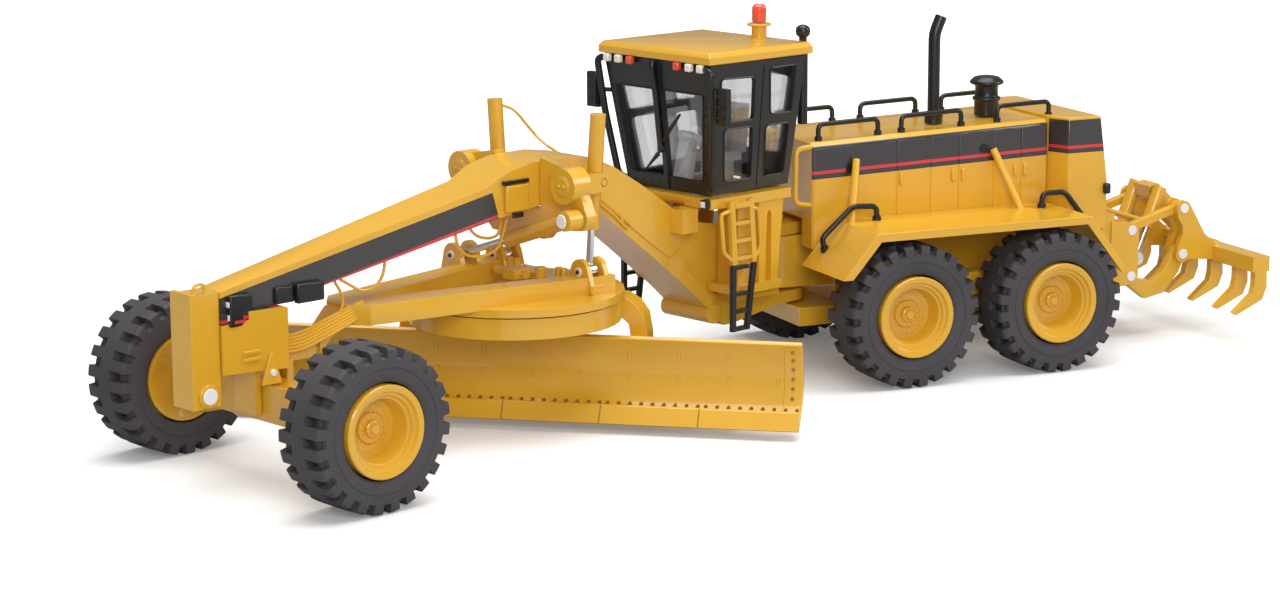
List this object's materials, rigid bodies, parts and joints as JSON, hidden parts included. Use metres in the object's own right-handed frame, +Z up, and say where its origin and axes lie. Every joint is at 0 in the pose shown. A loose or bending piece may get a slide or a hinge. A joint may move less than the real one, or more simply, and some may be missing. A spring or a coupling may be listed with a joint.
{
  "type": "scale model motor grader",
  "caption": "1:50 die-cast model of a large articulated motor grader: tandem rear wheels, glazed cab, arched front frame with a turning blade, steered front wheels and a rear ripper.",
  "frame": {"origin": "bottom centre of the bounding box in the stored pose, on the ground plane", "axes": "+X from the ripper towards the nose along the rear frame, +Y to the left, +Z up"},
  "size_m": [0.323, 0.1432, 0.0977],
  "materials": {
    "body_yellow": "glossy construction-yellow enamel",
    "trim_black": "satin black plastic",
    "tyre_rubber": "dark grey rubber",
    "rod_chrome": "polished",
    "cab_grey": "satin grey plastic",
    "lamp_orange": "translucent orange",
    "clear_plastic": "clear plastic"
  },
  "bodies": {
    "rear_frame": {"rear_chassis": "body_yellow", "engine_hood": "body_yellow", "radiator_housing": "body_yellow", "exhaust_stack": "trim_black", "air_precleaner": "trim_black", "ripper_bracket": "body_yellow", "left_fender": "body_yellow", "left_tandem_case": "body_yellow", "right_fender": "body_yellow", "right_tandem_case": "body_yellow"},
    "front_frame": {"front_frame": "body_yellow", "push_plate": "body_yellow", "lift_saddle": "body_yellow", "cab_deck": "body_yellow", "cab_shell": "trim_black", "cab_glazing": "clear_plastic", "cab_roof": "body_yellow", "beacon_lens": "lamp_orange", "vent_mast": "trim_black", "operator_seat": "cab_grey", "steering_console": "cab_grey", "front_axle": "body_yellow", "left_mirror": "trim_black", "left_lower_ladder": "trim_black", "right_mirror": "trim_black", "right_lower_ladder": "trim_black"},
    "left_steering_knuckle": {"left_knuckle": "body_yellow"},
    "right_steering_knuckle": {"right_knuckle": "body_yellow"},
    "tie_rod": {"tie_rod": "body_yellow"},
    "drawbar": {"drawbar": "body_yellow"},
    "circle": {"circle": "body_yellow"},
    "blade": {"moldboard": "body_yellow", "cutting_edge": "body_yellow"},
    "left_lift_barrel": {"left_lift_barrel": "body_yellow"},
    "right_lift_barrel": {"right_lift_barrel": "body_yellow"},
    "left_lift_rod": {"left_lift_rod": "rod_chrome"},
    "right_lift_rod": {"right_lift_rod": "rod_chrome"},
    "centre_shift_barrel": {"centre_shift_barrel": "body_yellow"},
    "centre_shift_rod": {"centre_shift_rod": "rod_chrome"},
    "ripper_lower_arms": {"ripper_lower_arms": "body_yellow"},
    "ripper_upper_links": {"ripper_upper_links": "body_yellow"},
    "ripper_beam": {"ripper_beam": "body_yellow"},
    "ripper_ram_barrels": {"ripper_ram_barrels": "body_yellow"},
    "ripper_ram_rods": {"ripper_ram_rods": "rod_chrome"},
    "left_middle_wheel": {"left_middle_tyre": "tyre_rubber", "left_middle_rim": "body_yellow"},
    "left_rear_wheel": {"left_rear_tyre": "tyre_rubber", "left_rear_rim": "body_yellow"},
    "right_middle_wheel": {"right_middle_tyre": "tyre_rubber", "right_middle_rim": "body_yellow"},
    "right_rear_wheel": {"right_rear_tyre": "tyre_rubber", "right_rear_rim": "body_yellow"},
    "left_front_wheel": {"left_front_tyre": "tyre_rubber", "left_front_rim": "body_yellow"},
    "right_front_wheel": {"right_front_tyre": "tyre_rubber", "right_front_rim": "body_yellow"}
  },
  "joints": [
    {"name": "articulation", "type": "hinge", "parent": "rear_frame", "child": "front_frame", "pos_m": [-0.02783, -0.03084, 0.03], "axis": [0, 0, 1], "range_deg": [-44.2, 5.8]},
    {"name": "left_steering", "type": "hinge", "parent": "front_frame", "child": "left_steering_knuckle", "pos_m": [0.1214, 0.04813, 0.01875], "axis": [0, 0, 1], "range_deg": [-25, 25]},
    {"name": "right_steering", "type": "hinge", "parent": "front_frame", "child": "right_steering_knuckle", "pos_m": [0.13817, -0.00004, 0.01875], "axis": [0, 0, 1], "range_deg": [-25, 25]},
    {"name": "tie_rod_shift", "type": "slide", "parent": "front_frame", "child": "tie_rod", "axis": [-0.3289, 0.9444, 0], "range_m": [-0.0036, 0.0036]},
    {"name": "left_middle_wheel_spin", "type": "hinge", "parent": "rear_frame", "child": "left_middle_wheel", "pos_m": [-0.04823, 0.00211, 0.01875], "axis": [0, 1, 0], "continuous": true},
    {"name": "left_rear_wheel_spin", "type": "hinge", "parent": "rear_frame", "child": "left_rear_wheel", "pos_m": [-0.09143, 0.00211, 0.01875], "axis": [0, 1, 0], "continuous": true},
    {"name": "right_middle_wheel_spin", "type": "hinge", "parent": "rear_frame", "child": "right_middle_wheel", "pos_m": [-0.04823, -0.06379, 0.01875], "axis": [0, 1, 0], "continuous": true},
    {"name": "right_rear_wheel_spin", "type": "hinge", "parent": "rear_frame", "child": "right_rear_wheel", "pos_m": [-0.09143, -0.06379, 0.01875], "axis": [0, 1, 0], "continuous": true},
    {"name": "left_front_wheel_spin", "type": "hinge", "parent": "left_steering_knuckle", "child": "left_front_wheel", "pos_m": [0.1176, 0.05903, 0.01875], "axis": [-0.3289, 0.9444, 0], "continuous": true},
    {"name": "right_front_wheel_spin", "type": "hinge", "parent": "right_steering_knuckle", "child": "right_front_wheel", "pos_m": [0.14197, -0.01094, 0.01875], "axis": [-0.3289, 0.9444, 0], "continuous": true},
    {"name": "drawbar_lift", "type": "hinge", "parent": "front_frame", "child": "drawbar", "pos_m": [0.11713, 0.01964, 0.029], "axis": [-0.3289, 0.9444, 0], "range_deg": [-1.1, 5.5]},
    {"name": "circle_rotation", "type": "hinge", "parent": "drawbar", "child": "circle", "pos_m": [0.05829, -0.00085, 0.028], "axis": [0, 0, 1], "range_deg": [-75, 5]},
    {"name": "blade_side_shift", "type": "slide", "parent": "circle", "child": "blade", "axis": [-0.8151, 0.5793, 0], "range_m": [-0.008, 0.008]},
    {"name": "left_lift_tilt", "type": "hinge", "parent": "front_frame", "child": "left_lift_barrel", "pos_m": [0.04274, 0.01242, 0.0612], "axis": [-0.0716, -0.9948, 0.072], "range_deg": [-1.3, 5.8]},
    {"name": "left_lift_rod_slide", "type": "slide", "parent": "left_lift_barrel", "child": "left_lift_rod", "axis": [-0.037, 0.0748, 0.9965], "range_m": [-0.0017, 0.0073]},
    {"name": "right_lift_tilt", "type": "hinge", "parent": "front_frame", "child": "right_lift_barrel", "pos_m": [0.05434, -0.02091, 0.0612], "axis": [0.6741, -0.7351, -0.072], "range_deg": [-1.3, 5.8]},
    {"name": "right_lift_rod_slide", "type": "slide", "parent": "right_lift_barrel", "child": "right_lift_rod", "axis": [0.0175, -0.0816, 0.9965], "range_m": [-0.0017, 0.0073]},
    {"name": "centre_shift_tilt", "type": "hinge", "parent": "front_frame", "child": "centre_shift_barrel", "pos_m": [0.05238, 0.02039, 0.0535], "axis": [-0.8946, -0.3892, 0.2195], "range_deg": [-2, 8.6]},
    {"name": "centre_shift_slide", "type": "slide", "parent": "centre_shift_barrel", "child": "centre_shift_rod", "axis": [0.3119, -0.8957, -0.3169], "range_m": [-0.0018, 0.0006]},
    {"name": "ripper_lift", "type": "hinge", "parent": "rear_frame", "child": "ripper_lower_arms", "pos_m": [-0.12953, -0.03084, 0.0181], "axis": [0, 1, 0], "range_deg": [-27, 3]},
    {"name": "ripper_link_tilt", "type": "hinge", "parent": "rear_frame", "child": "ripper_upper_links", "pos_m": [-0.12953, -0.03084, 0.0309], "axis": [0, 1, 0], "range_deg": [-27.5, 3.5]},
    {"name": "ripper_beam_level", "type": "hinge", "parent": "ripper_lower_arms", "child": "ripper_beam", "pos_m": [-0.14633, -0.03084, 0.023], "axis": [0, 1, 0], "range_deg": [-3.5, 27.5]},
    {"name": "ripper_ram_tilt", "type": "hinge", "parent": "rear_frame", "child": "ripper_ram_rods", "pos_m": [-0.13633, -0.03084, 0.0213], "axis": [0, 1, 0], "range_deg": [-16, 2]},
    {"name": "ripper_ram_slide", "type": "slide", "parent": "ripper_ram_rods", "child": "ripper_ram_barrels", "axis": [-0.3624, 0, 0.932], "range_m": [-0.0072, 0.001]}
  ],
  "couplings": [
    {"joint": "right_steering", "follows": "left_steering", "ratio": 1},
    {"joint": "tie_rod_shift", "follows": "left_steering", "m_per_rad": -0.008},
    {"joint": "left_lift_tilt", "follows": "drawbar_lift", "ratio": 0.9345},
    {"joint": "left_lift_rod_slide", "follows": "drawbar_lift", "m_per_rad": 0.07088},
    {"joint": "right_lift_tilt", "follows": "drawbar_lift", "ratio": 0.9345},
    {"joint": "right_lift_rod_slide", "follows": "drawbar_lift", "m_per_rad": 0.07088},
    {"joint": "centre_shift_tilt", "follows": "drawbar_lift", "ratio": 1.4297},
    {"joint": "centre_shift_slide", "follows": "drawbar_lift", "m_per_rad": -0.01549},
    {"joint": "ripper_link_tilt", "follows": "ripper_lift", "ratio": 1},
    {"joint": "ripper_beam_level", "follows": "ripper_lift", "ratio": -1},
    {"joint": "ripper_ram_tilt", "follows": "ripper_lift", "ratio": 0.575},
    {"joint": "ripper_ram_slide", "follows": "ripper_lift", "m_per_rad": 0.0147}
  ]
}
